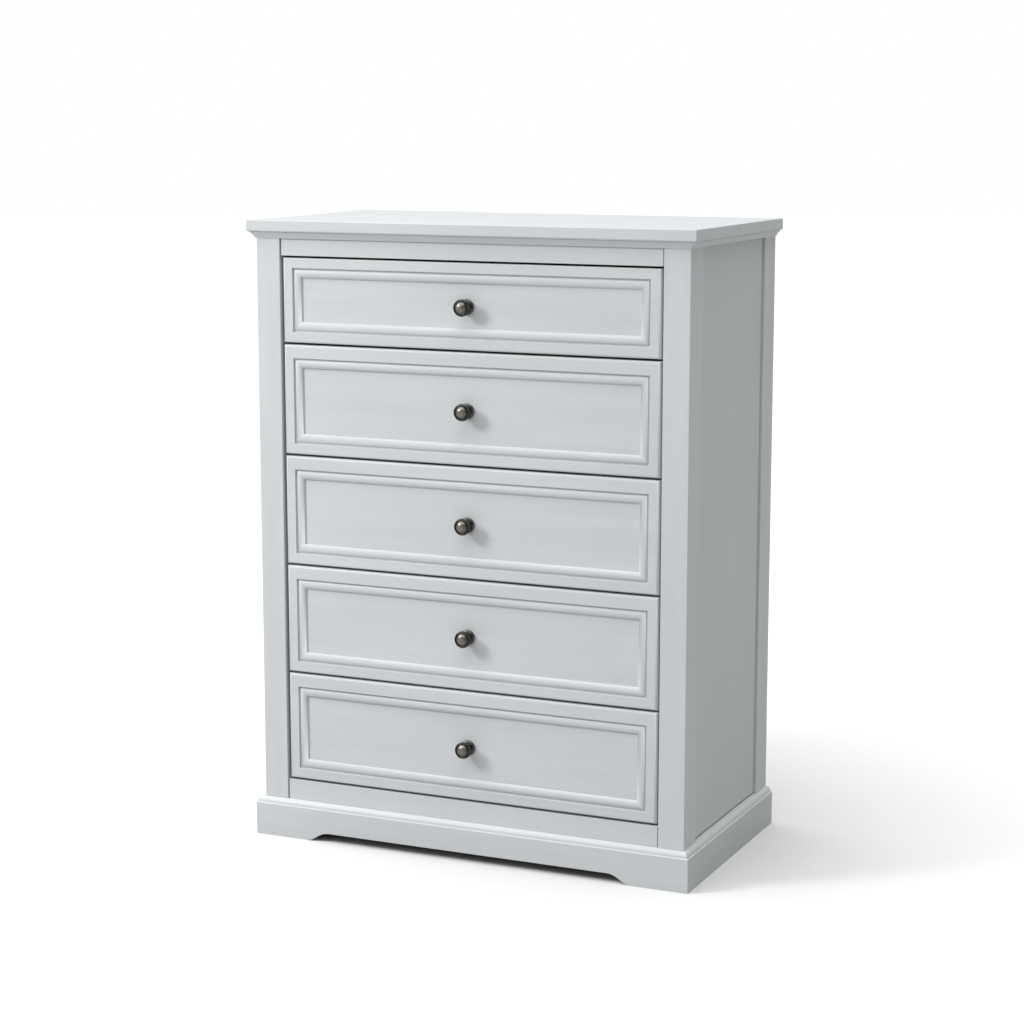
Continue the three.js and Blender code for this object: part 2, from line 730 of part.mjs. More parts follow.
// One drawer's own levels, counted from the foot of its front. The knob sits just below the middle of the
// recessed panel.
function drawerLevels(height, tails, highEdge) {
  const sideFoot = SIDE_ABOVE_FRONT_FOOT;
  const sideTop = height - SIDE_BELOW_FRONT_TOP;
  const panelLow = sideFoot + BOX_BOTTOM_UP;
  return {
    height,
    tails,
    highEdge,
    knobMiddle: (height + LOW_EDGE.frame - highEdge.frame) / 2 - KNOB_DROP,
    sideFoot,
    sideTop,
    panelLow,
    panelHigh: panelLow + BOX_BOTTOM_THICKNESS,
    runnerMiddle: (sideFoot + sideTop) / 2,
    backStart: BOX_END - BOX_BACK_FROM_END - BOX_BACK_THICKNESS,
  };
}

function addDrawer(number, foot, drawer) {
  const group = new THREE.Group();
  group.position.set(0, FACE_SET_BACK, foot);
  carcass.add(group);
  addMesh(group, `drawer_${number}_front`, frontGeometry(drawer), paint);
  for (const { hand, side } of HANDS) {
    addMesh(group, `drawer_${number}_side_${hand}`, sideGeometry(drawer, side), drawerWood);
  }
  const panelHalf = BOX_INSIDE + HOUSING - FIT;
  const back = boxBetween(
    [-panelHalf, drawer.backStart, drawer.panelHigh + FIT],
    [panelHalf, drawer.backStart + BOX_BACK_THICKNESS, drawer.sideTop - BOX_BACK_BELOW_TOP],
  );
  addMesh(group, `drawer_${number}_back`, back, drawerWood);
  const bottom = boxBetween(
    [-panelHalf, FRONT_THICKNESS - BOTTOM_GROOVE + FIT, drawer.panelLow],
    [panelHalf, BOX_END - FIT, drawer.panelHigh],
  );
  addMesh(group, `drawer_${number}_bottom`, bottom, boardWood);
  const knob = addMesh(group, `drawer_${number}_knob`, knobGeometry(), pewter, [
    0,
    PANEL_DEPTH,
    drawer.knobMiddle,
  ]);
  knob.rotation.x = Math.PI;
}

// The two runners of one drawer, fixed to the inner faces of the posts.
function addRunners(number, foot, drawer) {
  const middle = foot + drawer.runnerMiddle;
  const height = [middle - RUNNER_HEIGHT / 2, middle + RUNNER_HEIGHT / 2];
  const far = POST_INSIDE - FIT;
  for (const { hand, side } of HANDS) {
    const geometry = mirroredBox(side, [far - RUNNER_WIDTH, far], [RUNNER_START, RUNNER_END], height);
    addMesh(carcass, `runner_${number}_${hand}`, geometry, runnerWood);
  }
}

// Drawer 1 is the shallow one at the top, and drawer 5 the lowest.
function addDrawers() {
  const shallow = drawerLevels(TOP_DRAWER_HEIGHT, TOP_DRAWER_TAILS, SHALLOW_HIGH_EDGE);
  const deep = drawerLevels(DRAWER_HEIGHT, DRAWER_TAILS, HIGH_EDGE);
  addDrawer(1, TOP_DRAWER_FOOT, shallow);
  addRunners(1, TOP_DRAWER_FOOT, shallow);
  for (let index = 1; index <= DEEP_DRAWERS; index += 1) {
    const foot = TOP_DRAWER_FOOT - index * (DRAWER_HEIGHT + DRAWER_GAP);
    addDrawer(index + 1, foot, deep);
    addRunners(index + 1, foot, deep);
  }
}

addPosts();
addSidePanels();
addRails();
addBottomPanel();
addBackPanel();
addTop();
addTopMouldings();
addPlinth();
addDrawers();

export default chest;
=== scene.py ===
import math

import bmesh
import bpy
from mathutils import Matrix, Vector


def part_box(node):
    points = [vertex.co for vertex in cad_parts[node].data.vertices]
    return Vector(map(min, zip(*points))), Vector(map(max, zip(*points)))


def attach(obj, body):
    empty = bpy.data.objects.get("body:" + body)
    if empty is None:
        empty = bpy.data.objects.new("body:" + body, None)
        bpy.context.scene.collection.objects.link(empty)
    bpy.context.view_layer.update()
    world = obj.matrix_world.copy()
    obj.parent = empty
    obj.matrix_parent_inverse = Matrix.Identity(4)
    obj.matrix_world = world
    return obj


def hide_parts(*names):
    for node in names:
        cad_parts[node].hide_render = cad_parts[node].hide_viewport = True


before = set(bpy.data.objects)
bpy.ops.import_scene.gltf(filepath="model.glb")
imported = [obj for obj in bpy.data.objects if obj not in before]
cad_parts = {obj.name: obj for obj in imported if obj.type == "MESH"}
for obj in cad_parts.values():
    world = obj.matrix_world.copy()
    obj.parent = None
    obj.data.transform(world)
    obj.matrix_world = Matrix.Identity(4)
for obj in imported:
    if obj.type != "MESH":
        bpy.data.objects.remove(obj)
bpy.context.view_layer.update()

MM = 0.001
SIDES = {"left": -1, "right": 1}
DRAWERS = range(1, 6)

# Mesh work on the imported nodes.
WELD = 0.02 * MM
FLAT_ANGLE = math.radians(0.5)
ARRIS_ANGLE = math.radians(40)
SMOOTH_ANGLE = math.radians(32)
SHORTEST_ARRIS = 7 * MM
ARRIS_SEGMENTS = 3
ARRIS_ROUNDNESS = 0.5
FLAT_FACE_WEIGHT = 80

# Colours are linear. The shade tint is painted shade: a greener, darker paint laid on the side faces
# for the shade they stand in. The tables say how far each effect moves a finish's brightness (tone), its
# blend from pale to dark (dark) and its surface (relief); the arris tone is a painted highlight on eased
# edges.
PAINT = (0.596, 0.620, 0.630)
PAINT_SHADE_TINT = (0.548, 0.606, 0.592)
PAINT_TONE = {"cloud": 0.015, "streak": 0.018, "brushed": 0.03, "pores": 0.075, "arris": 0.05}
PAINT_RELIEF = {"fibre": 0.5, "streak": 0.9, "stipple": 0.25, "pores": 0.8}
PAINT_ROUGHNESS = (0.46, 0.56)
PAINT_SPECULAR = 0.35
PAINT_BUMP = 0.45
ARRIS_POLISH = 0.06
SHADE_TINT_SHARE = (0.3, 1.5)

WOOD_DARK = {"ring": 0.55, "fibre": 0.35, "pores": 0.25}
WOOD_TONE = (0.94, 1.06)
WOOD_RELIEF = {"ring": 0.3, "pores": 0.9}
WOOD_ROUGHNESS_BELOW = 0.06
WOOD_ROUGHNESS_ABOVE = 0.08
WOOD_BUMP = 0.5
RING_SHARPNESS = 2.5
RING_EDGE = 0.93
GRAIN_DEPTH = 0.15 * MM

# Each bare wood: its pale and dark colours, how many growth rings it shows, and its roughness.
WOODS = {
    "drawer_pine": ((0.74, 0.57, 0.36), (0.50, 0.32, 0.16), 17, 0.55),
    "runner_beech": ((0.58, 0.38, 0.21), (0.38, 0.22, 0.11), 12, 0.48),
    "birch_board": ((0.62, 0.46, 0.28), (0.44, 0.29, 0.15), 15, 0.60),
}

KNOB_DARK = (0.030, 0.029, 0.026)
KNOB_BRIGHT = (0.370, 0.352, 0.310)
KNOB_ROUGHNESS = (0.33, 0.46)
KNOB_BLOTCH = 0.16
KNOB_BUMP = 0.15
KNOB_SCRATCH_DEPTH = 0.03 * MM

STEEL_CLEAN = (0.62, 0.60, 0.55)
STEEL_STAINED = (0.34, 0.32, 0.29)
STEEL_ROUGHNESS = (0.28, 0.45)
STEEL_BUMP = 0.2
STEEL_STAIN_DEPTH = 0.02 * MM


# ---------------------------------------------------------------------------------------------------------
# Materials
# ---------------------------------------------------------------------------------------------------------


class Shader:
    """A material on one Principled shader, with short calls that add nodes and give back their result."""

    def __init__(self, name):
        self.material = bpy.data.materials.new(name)
        self.material.use_nodes = True
        self.tree = self.material.node_tree
        self.surface = self.tree.nodes["Principled BSDF"]

    def feed(self, socket, value):
        if isinstance(value, bpy.types.NodeSocket):
            self.tree.links.new(value, socket)
        else:
            socket.default_value = value

    def add(self, kind, inputs, output, **settings):
        node = self.tree.nodes.new("ShaderNode" + kind)
        for key, value in settings.items():
            setattr(node, key, value)
        for key, value in inputs.items():
            self.feed(node.inputs[key], value)
        return node.outputs[output]

    def set(self, **values):
        """Sets sockets of the surface, named with _ for each space."""
        for key, value in values.items():
            self.feed(self.surface.inputs[key.replace("_", " ")], value)

    def position(self):
        return self.add("TexCoord", {}, "Object")

    def stretched(self, grain, along, across, shift=0.0):
        """The position with `along` waves to the metre on the grain's axis and `across` on the other two."""
        scale = [along if axis == grain else across for axis in "XYZ"]
        inputs = {"Vector": self.position(), "Scale": scale, "Location": (shift, shift, shift)}
        return self.add("Mapping", inputs, "Vector")

    def noise(self, vector, scale=1.0, detail=3.0, roughness=0.5, distortion=0.0):
        inputs = {
            "Vector": vector,
            "Scale": scale,
            "Detail": detail,
            "Roughness": roughness,
            "Distortion": distortion,
        }
        return self.add("TexNoise", inputs, 0)

    def grained(self, grain, along, across, detail, roughness, shift=0.0, distortion=0.0):
        """Noise drawn out along the grain."""
        vector = self.stretched(grain, along, across, shift)
        return self.noise(vector, detail=detail, roughness=roughness, distortion=distortion)

    def maths(self, operation, first, second):
        return self.add("Math", {0: first, 1: second}, 0, operation=operation)

    def plus(self, total, *others):
        for other in others:
            total = self.maths("ADD", total, other)
        return total

    def minus(self, first, second):
        return self.maths("SUBTRACT", first, second)

    def times(self, first, second):
        return self.maths("MULTIPLY", first, second)

    def span(self, value, low, high, to_low=0.0, to_high=1.0):
        """value carried from the range low..high to to_low..to_high, and held at its ends."""
        inputs = {
            "Value": value,
            "From Min": low,
            "From Max": high,
            "To Min": to_low,
            "To Max": to_high,
        }
        return self.add("MapRange", inputs, 0)

    def swing(self, value, low, high, reach):
        """value carried from the range low..high to as far below 0 as above it."""
        return self.span(value, low, high, -reach, reach)

    def blend(self, share, first, second):
        """The colour first where share is 0, and second where it is 1."""
        return self.add("Mix", {0: share, 6: (*first, 1), 7: (*second, 1)}, 2, data_type="RGBA")

    def scaled(self, colour, factor):
        inputs = {0: colour, "Scale": factor}
        return self.add("VectorMath", inputs, "Vector", operation="SCALE")

    def mark(self, name):
        """A number that the mesh itself carries, such as its eased edges."""
        return self.add("Attribute", {}, "Fac", attribute_name=name)

    def bump(self, height, strength, distance):
        inputs = {"Height": height, "Strength": strength, "Distance": distance}
        self.set(Normal=self.add("Bump", inputs, "Normal"))


def painted_wood(grain):
    """Satin paint, rolled and sanded over wood, whose pores and grain show faintly through it."""
    shader = Shader(f"painted_wood_{grain.lower()}")
    cloud = shader.noise(shader.position(), 4.5, 4, 0.55)
    streak = shader.grained(grain, 3, 75, 4, 0.6)
    fibre = shader.grained(grain, 28, 620, 3, 0.6)
    brushed = shader.grained(grain, 2.2, 24, 3, 0.5, shift=9.4)
    pores = shader.span(shader.grained(grain, 70, 900, 2, 0.5, shift=3.7), 0.62, 0.74)
    stipple = shader.noise(shader.position(), 900, 2, 0.5)
    # Painted highlight: the eased edges are made lighter, as if light caught them, and a little glossier.
    arris = shader.times(shader.mark("arris"), shader.span(cloud, 0.35, 0.6, 0.2, 1))

    tone = shader.plus(
        shader.span(cloud, 0.25, 0.75, 1 - PAINT_TONE["cloud"], 1 + PAINT_TONE["cloud"]),
        shader.swing(streak, 0.25, 0.75, PAINT_TONE["streak"]),
        shader.swing(brushed, 0.3, 0.7, PAINT_TONE["brushed"]),
        shader.mark("tone"),
    )
    tone = shader.minus(tone, shader.times(pores, PAINT_TONE["pores"]))
    tone = shader.plus(tone, shader.times(arris, PAINT_TONE["arris"]))
    # Painted shade: the side faces' mark blends in a greener, darker colour for the shade they stand in, in
    # brush streaks.
    shade_tint = shader.times(shader.mark("shade_tint"), shader.span(brushed, 0.3, 0.7, *SHADE_TINT_SHARE))
    gloss = shader.span(streak, 0.2, 0.8, *PAINT_ROUGHNESS)
    gloss = shader.minus(gloss, shader.times(arris, ARRIS_POLISH))
    shader.set(Base_Color=shader.scaled(shader.blend(shade_tint, PAINT, PAINT_SHADE_TINT), tone), Roughness=gloss)
    shader.set(Specular_IOR_Level=PAINT_SPECULAR)

    height = shader.plus(
        shader.times(fibre, PAINT_RELIEF["fibre"]),
        shader.times(streak, PAINT_RELIEF["streak"]),
        shader.times(stipple, PAINT_RELIEF["stipple"]),
    )
    height = shader.minus(height, shader.times(pores, PAINT_RELIEF["pores"]))
    shader.bump(height, PAINT_BUMP, GRAIN_DEPTH)
    return shader.material


def bare_wood(name, grain):
    """Planed wood: growth rings drawn out along the grain, fine fibres, and darker pores."""
    pale, dark, rings, roughness = WOODS[name]
    shader = Shader(f"{name}_{grain.lower()}")
    field = shader.grained(grain, 0.9, 9, 2, 0.45, shift=5.3, distortion=0.3)
    ring = shader.maths("FRACT", shader.times(field, rings), 0.0)
    ring = shader.times(shader.maths("POWER", ring, RING_SHARPNESS), shader.span(ring, RING_EDGE, 1, 1, 0))
    fibre = shader.grained(grain, 14, 520, 4, 0.65)
    pores = shader.span(shader.grained(grain, 45, 1100, 2, 0.5, shift=8.1), 0.6, 0.75)
    cloud = shader.noise(shader.position(), 6, 3, 0.5)

    share = shader.plus(
        shader.times(ring, WOOD_DARK["ring"]),
        shader.span(fibre, 0.3, 0.7, 0, WOOD_DARK["fibre"]),
        shader.times(pores, WOOD_DARK["pores"]),
    )
    tone = shader.plus(shader.span(cloud, 0.25, 0.75, *WOOD_TONE), shader.mark("tone"))
    shader.set(Base_Color=shader.scaled(shader.blend(share, pale, dark), tone))
    smoothest, roughest = roughness - WOOD_ROUGHNESS_BELOW, roughness + WOOD_ROUGHNESS_ABOVE
    shader.set(Roughness=shader.span(fibre, 0.25, 0.75, smoothest, roughest))
    height = shader.minus(fibre, shader.times(pores, WOOD_RELIEF["pores"]))
    height = shader.plus(height, shader.times(ring, WOOD_RELIEF["ring"]))
    shader.bump(height, WOOD_BUMP, GRAIN_DEPTH)
    return shader.material


def aged_metal():
    """Dark patinated metal, rubbed bright where `polish` says that hands reach it."""
    shader = Shader("aged_knob_metal")
    blotch = shader.noise(shader.position(), 260, 4, 0.6)
    scratch = shader.noise(shader.position(), 1500, 3, 0.7)
    polish = shader.plus(shader.mark("polish"), shader.swing(blotch, 0.3, 0.7, KNOB_BLOTCH))
    shader.set(Base_Color=shader.blend(polish, KNOB_DARK, KNOB_BRIGHT), Metallic=1.0)
    shader.set(Roughness=shader.span(blotch, 0.25, 0.75, *KNOB_ROUGHNESS))
    shader.bump(scratch, KNOB_BUMP, KNOB_SCRATCH_DEPTH)
    return shader.material


def fixing_steel():
    """Plated steel of screws, nails, nuts and washers."""
    shader = Shader("fixing_steel")
    stain = shader.noise(shader.position(), 420, 4, 0.6)
    shader.set(Base_Color=shader.blend(stain, STEEL_CLEAN, STEEL_STAINED), Metallic=1.0)
    shader.set(Roughness=shader.span(stain, 0.3, 0.7, *STEEL_ROUGHNESS))
    shader.bump(stain, STEEL_BUMP, STEEL_STAIN_DEPTH)
    return shader.material


# One material for each direction of the grain that a finish is used with.
PAINTS = {grain: painted_wood(grain) for grain in "XYZ"}
PINE = {grain: bare_wood("drawer_pine", grain) for grain in "XY"}
BEECH = {"Y": bare_wood("runner_beech", "Y")}
BOARD = {grain: bare_wood("birch_board", grain) for grain in "XZ"}
KNOB_METAL = aged_metal()
STEEL = fixing_steel()


# ---------------------------------------------------------------------------------------------------------
# Mesh helpers
# ---------------------------------------------------------------------------------------------------------


def node_surface(node):
    """The node's surface as a new bmesh, welded, with its flat faces whole again."""
    mesh = bmesh.new()
    mesh.from_mesh(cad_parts[node].data)
    bmesh.ops.remove_doubles(mesh, verts=mesh.verts, dist=WELD)
    bmesh.ops.dissolve_limit(mesh, angle_limit=FLAT_ANGLE, verts=mesh.verts, edges=mesh.edges)
    return mesh


def ease_arrises(mesh, width):
    """Rounds the long outward corners and marks the new faces, which paint shows with a painted highlight.
    """
    highlight_and_polish = mesh.faces.layers.float.new("arris")
    edges = [
        edge
        for edge in mesh.edges
        if edge.is_manifold
        and edge.is_convex
        and edge.calc_length() > SHORTEST_ARRIS
        and edge.calc_face_angle() > ARRIS_ANGLE
    ]
    eased = bmesh.ops.bevel(
        mesh,
        geom=edges,
        offset=width,
        offset_type="OFFSET",
        segments=ARRIS_SEGMENTS,
        profile=ARRIS_ROUNDNESS,
        affect="EDGES",
        clamp_overlap=True,
    )
    for face in eased["faces"]:
        face[highlight_and_polish] = 1.0


def add_object(name, mesh, materials):
    """An object from a bmesh, shaded smooth apart from its corners."""
    data = bpy.data.meshes.new(name)
    mesh.normal_update()
    mesh.to_mesh(data)
    mesh.free()
    for polygon in data.polygons:
        polygon.use_smooth = True
    data.set_sharp_from_angle(angle=SMOOTH_ANGLE)
    for material in materials:
        data.materials.append(material)
    piece = bpy.data.objects.new(name, data)
    bpy.context.scene.collection.objects.link(piece)
    weighted = piece.modifiers.new("flat faces stay flat", "WEIGHTED_NORMAL")
    weighted.keep_sharp = True
    weighted.weight = FLAT_FACE_WEIGHT
    return piece


def set_mark(piece, name, value):
    """Gives the whole piece one value of a mark that its material reads, such as its own "tone"."""
    marks = piece.data.attributes.new(name, "FLOAT", "POINT")
    marks.data.foreach_set("value", [value] * len(piece.data.vertices))


def tone_of(name, spread):
    """A steady difference in tone for each piece, from -spread to spread, from the letters of its name."""
    total = sum(ord(letter) * place for place, letter in enumerate(name, start=3))
    steps = 16
    return spread * (2 * (total % (steps + 1)) / steps - 1)


def dress(node, body, slot, materials, arris, spread, shape=None):
    """A refined copy of the node, which it then stands for. shape, if given, works on its mesh first."""
    mesh = node_surface(node)
    if shape:
        shape(mesh)
    ease_arrises(mesh, arris)
    piece = add_object(f"{node}_{slot}", mesh, materials)
    set_mark(piece, "tone", tone_of(node, spread))
    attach(piece, body)
    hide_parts(node)
    return piece


def lathe(mesh, outline, place, steps, marks=None):
    """Turns an outline of (radius, height) about an axis and adds it to mesh. place takes a point with its
    height on Z to where it goes. A radius of 0 closes the form. marks, one to a point of the outline, are
    values for the layer "polish"."""
    layer = mesh.verts.layers.float.get("polish") or mesh.verts.layers.float.new("polish")
    rings = []
    for index, (radius, height) in enumerate(outline):
        count = steps if radius > 0 else 1
        ring = []
        for step in range(count):
            angle = 2 * math.pi * step / steps
            point = Vector((radius * math.cos(angle), radius * math.sin(angle), height))
            vertex = mesh.verts.new(place @ point)
            vertex[layer] = marks[index] if marks else 0.0
            ring.append(vertex)
        rings.append(ring)
    for lower, upper in zip(rings, rings[1:]):
        for step in range(steps):
            after = (step + 1) % steps
            corners = [lower[step % len(lower)], lower[after % len(lower)]]
            corners += [upper[after % len(upper)], upper[step % len(upper)]]
            mesh.faces.new(list(dict.fromkeys(corners)))


def stamp(mesh, outline, place, steps):
    """Turns an outline given in millimetres about an axis and adds it to mesh."""
    lathe(mesh, [(radius * MM, height * MM) for radius, height in outline], place, steps)


def smooth_outline(points, between):
    """Points on a smooth curve through the given ones, Catmull-Rom, with `between` steps to each span."""
    padded = [points[0], *points, points[-1]]
    curve = []
    for span in zip(padded, padded[1:], padded[2:], padded[3:]):
        for step in range(between):
            curve.append(tuple(catmull_rom(step / between, *values) for values in zip(*span)))
    return [*curve, tuple(points[-1])]


def catmull_rom(t, a, b, c, d):
    """The value at t, which runs from 0 at b to 1 at c."""
    return 0.5 * (2 * b + (c - a) * t + (2 * a - 5 * b + 4 * c - d) * t**2 + (3 * b - a - 3 * c + d) * t**3)


# ---------------------------------------------------------------------------------------------------------
# Carcass
# ---------------------------------------------------------------------------------------------------------

# The painted nodes: the axis of their grain, and the width of their eased arrises in millimetres.
PAINTED_NODES = {
    "front_post_left": ("Z", 1.2),
    "front_post_right": ("Z", 1.2),
    "rear_post_left": ("Z", 1.2),
    "rear_post_right": ("Z", 1.2),
    "side_panel_left": ("Z", 0.7),
    "side_panel_right": ("Z", 0.7),
    "top_panel": ("X", 1.4),
    "top_moulding_front": ("X", 0.25),
    "top_moulding_left": ("Y", 0.25),
    "top_moulding_right": ("Y", 0.25),
    "top_rail": ("X", 0.7),
    "bottom_rail": ("X", 0.7),
    "plinth_front": ("X", 0.9),
    "plinth_left": ("Y", 0.9),
    "plinth_right": ("Y", 0.9),
}
# How much painted shade tint a painted node has: a greener, darker colour for the shade on the side faces.
SHADE_TINTED = {
    "side_panel_left": 0.75,
    "side_panel_right": 0.75,
    "plinth_left": 0.3,
    "plinth_right": 0.3,
}
# The bare board nodes, in the same terms as the painted ones.
BOARD_NODES = {
    "rear_top_rail": ("X", 0.5),
    "rear_bottom_rail": ("X", 0.5),
    "plinth_rear": ("X", 0.8),
    "bottom_panel": ("X", 0.4),
    "back_panel": ("Z", 0.5),
}
RUNNER_ARRIS = 0.6 * MM
NAIL_HEAD_HEIGHT = 0.5 * MM

# How far pieces of one finish differ in tone.
CARCASS_SPREAD = 0.008
BOARD_SPREAD = 0.03
RUNNER_SPREAD = 0.04


def thin_back(mesh):
    """Takes the height of a nail head off the outer face of the back."""
    outer = max(vertex.co.y for vertex in mesh.verts)
    for vertex in mesh.verts:
        if vertex.co.y > outer - WELD:
            vertex.co.y -= NAIL_HEAD_HEIGHT


def build_carcass():
    for node, (grain, arris) in PAINTED_NODES.items():
        piece = dress(node, "carcass", "painted_wood", [PAINTS[grain]], arris * MM, CARCASS_SPREAD)
        set_mark(piece, "shade_tint", SHADE_TINTED.get(node, 0.0))
    for node, (grain, arris) in BOARD_NODES.items():
        shape = thin_back if node == "back_panel" else None
        dress(node, "carcass", "board", [BOARD[grain]], arris * MM, BOARD_SPREAD, shape)
    for number in DRAWERS:
        for hand in SIDES:
            runner = f"runner_{number}_{hand}"
            dress(runner, "carcass", "runner_wood", [BEECH["Y"]], RUNNER_ARRIS, RUNNER_SPREAD)


# ---------------------------------------------------------------------------------------------------------
# Drawers
# ---------------------------------------------------------------------------------------------------------

FRAME_SIDE_WIDTH = 39.5 * MM
FRONT_ARRIS = 0.45 * MM
FRONT_SPREAD = 0.006
BOX_ARRIS = 0.8 * MM
BOX_SPREAD = 0.05
BOX_BOTTOM_ARRIS = 0.3 * MM


def turn_grain_on_uprights(piece, node):
    """Gives the two upright members of a drawer front's frame, between the mitres, the second material."""
    low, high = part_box(node)
    for polygon in piece.data.polygons:
        centre = polygon.center
        from_side = min(centre.x - low.x, high.x - centre.x)
        from_end = min(centre.z - low.z, high.z - centre.z)
        polygon.material_index = int(from_side < min(from_end, FRAME_SIDE_WIDTH))


# The knob's outline: radius and height above the panel in millimetres, and how bright it is rubbed. It runs
# from the base flange over the neck and the head's rim, through a ring groove, and up the dome.
KNOB_OUTLINE = [
    (14.0, 0.3, 0.0),
    (14.6, 1.3, 0.05),
    (14.6, 3.5, 0.1),
    (13.6, 4.9, 0.3),
    (11.8, 5.9, 0.0),
    (10.0, 8.0, 0.0),
    (9.2, 10.6, 0.0),
    (9.6, 13.6, 0.0),
    (11.4, 16.4, 0.0),
    (14.0, 18.8, 0.05),
    (15.5, 21.2, 0.1),
    (15.9, 23.8, 0.15),
    (15.0, 26.7, 0.1),
    (13.3, 27.7, 0.05),
    (11.9, 26.9, -0.1),
    (10.7, 27.7, 0.3),
    (7.6, 30.2, 0.55),
    (4.0, 31.6, 0.65),
]
KNOB_CROWN_POLISH = 0.65
KNOB_HEIGHT = 32
KNOB_BASE = 0.3
STUD_RADIUS = 2
KNOB_STEPS = 72
OUTLINE_STEPS = 4


def build_knob(number):
    node = f"drawer_{number}_knob"
    low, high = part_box(node)
    seat = low.y + KNOB_HEIGHT * MM
    middle = Vector(((low.x + high.x) / 2, seat, (low.z + high.z) / 2))
    stud_end = (seat - high.y) / MM
    curve = smooth_outline(KNOB_OUTLINE, OUTLINE_STEPS)
    stud = [(0, stud_end, 0), (STUD_RADIUS, stud_end, 0), (STUD_RADIUS, KNOB_BASE, 0)]
    profile = [*stud, *curve, (0, KNOB_HEIGHT, KNOB_CROWN_POLISH)]
    to_front = Matrix.Translation(middle) @ Matrix.Rotation(math.radians(90), 4, "X")
    mesh = bmesh.new()
    outline = [(radius * MM, height * MM) for radius, height, _ in profile]
    lathe(mesh, outline, to_front, KNOB_STEPS, [mark for _, _, mark in profile])
    piece = add_object(f"{node}_turned", mesh, [KNOB_METAL])
    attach(piece, f"drawer_{number}")
    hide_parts(node)


# The washer and nut, in millimetres.
WASHER_HEIGHT = 1.1
WASHER_BORE = 2.3
WASHER_RADIUS = 5.8
WASHER_CHAMFER = 0.2
WASHER_STEPS = 32
NUT_BORE = 2.05
NUT_ACROSS_FLATS = 6.5
NUT_HEIGHT = 3.0
NUT_CHAMFER = 0.4
NUT_SIDES = 6


def build_knob_fixing(number):
    """The washer and nut on the knob's stud, inside the drawer."""
    knob_low, knob_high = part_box(f"drawer_{number}_knob")
    inner_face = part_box(f"drawer_{number}_front")[1].y
    middle = Vector(((knob_low.x + knob_high.x) / 2, inner_face, (knob_low.z + knob_high.z) / 2))
    inwards = Matrix.Translation(middle) @ Matrix.Rotation(math.radians(-90), 4, "X")
    washer = [
        (WASHER_BORE, 0),
        (WASHER_RADIUS - WASHER_CHAMFER, 0),
        (WASHER_RADIUS, WASHER_CHAMFER),
        (WASHER_RADIUS, WASHER_HEIGHT - WASHER_CHAMFER),
        (WASHER_RADIUS - WASHER_CHAMFER, WASHER_HEIGHT),
        (WASHER_BORE, WASHER_HEIGHT),
        (WASHER_BORE, 0),
    ]
    corner = NUT_ACROSS_FLATS / 2 / math.cos(math.pi / NUT_SIDES)
    top = WASHER_HEIGHT + NUT_HEIGHT
    nut = [
        (NUT_BORE, WASHER_HEIGHT),
        (corner, WASHER_HEIGHT),
        (corner, top - NUT_CHAMFER),
        (corner - NUT_CHAMFER, top),
        (NUT_BORE, top),
        (NUT_BORE, WASHER_HEIGHT),
    ]
    mesh = bmesh.new()
    stamp(mesh, washer, inwards, WASHER_STEPS)
    stamp(mesh, nut, inwards, NUT_SIDES)
    bmesh.ops.remove_doubles(mesh, verts=mesh.verts, dist=WELD)
    piece = add_object(f"drawer_{number}_knob_nut", mesh, [STEEL])
    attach(piece, f"drawer_{number}")


def build_drawer(number):
    body = f"drawer_{number}"
    node = f"{body}_front"
    front = dress(node, body, "painted_wood", [PAINTS["X"], PAINTS["Z"]], FRONT_ARRIS, FRONT_SPREAD)
    turn_grain_on_uprights(front, node)
    for hand in SIDES:
        dress(f"{body}_side_{hand}", body, "drawer_wood", [PINE["Y"]], BOX_ARRIS, BOX_SPREAD)
    dress(f"{body}_back", body, "drawer_wood", [PINE["X"]], BOX_ARRIS, BOX_SPREAD)
    dress(f"{body}_bottom", body, "board", [BOARD["X"]], BOX_BOTTOM_ARRIS, BOARD_SPREAD)
    build_knob(number)
    build_knob_fixing(number)


# ---------------------------------------------------------------------------------------------------------
# Fixings of the carcass
# ---------------------------------------------------------------------------------------------------------

# The heads of screws and nails, in millimetres: radius and height above what they hold.
SCREW_HEAD = [(0, -1.2), (1.4, -1.2), (3.4, 0), (3.4, 0.1), (2.4, 0.3), (1.0, 0.36), (0, 0.38)]
NAIL_HEAD = [(0, -0.8), (1.2, -0.8), (2.7, -0.1), (2.7, 0.1), (2.0, 0.35), (1.0, 0.46), (0, 0.48)]
HEAD_STEPS = 20
SCREW_PLACES = (0.12, 0.5, 0.88)
NAIL_INSET = 5.5 * MM
NAIL_END_INSET = 3 * NAIL_INSET
NAIL_PITCH = 110 * MM


def build_runner_screws():
    for number in DRAWERS:
        for hand, side in SIDES.items():
            low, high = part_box(f"runner_{number}_{hand}")
            face = high.x if side < 0 else low.x
            turn = Matrix.Rotation(math.radians(-90 * side), 4, "Y")
            mesh = bmesh.new()
            for share in SCREW_PLACES:
                along = low.y + (high.y - low.y) * share
                place = Matrix.Translation((face, along, (low.z + high.z) / 2))
                stamp(mesh, SCREW_HEAD, place @ turn, HEAD_STEPS)
            piece = add_object(f"runner_{number}_{hand}_screws", mesh, [STEEL])
            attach(piece, "carcass")


def evenly(start, end, pitch):
    """Places from start to end, both taken, as near to pitch apart as fits."""
    gaps = max(1, round((end - start) / pitch))
    return [start + (end - start) * index / gaps for index in range(gaps + 1)]


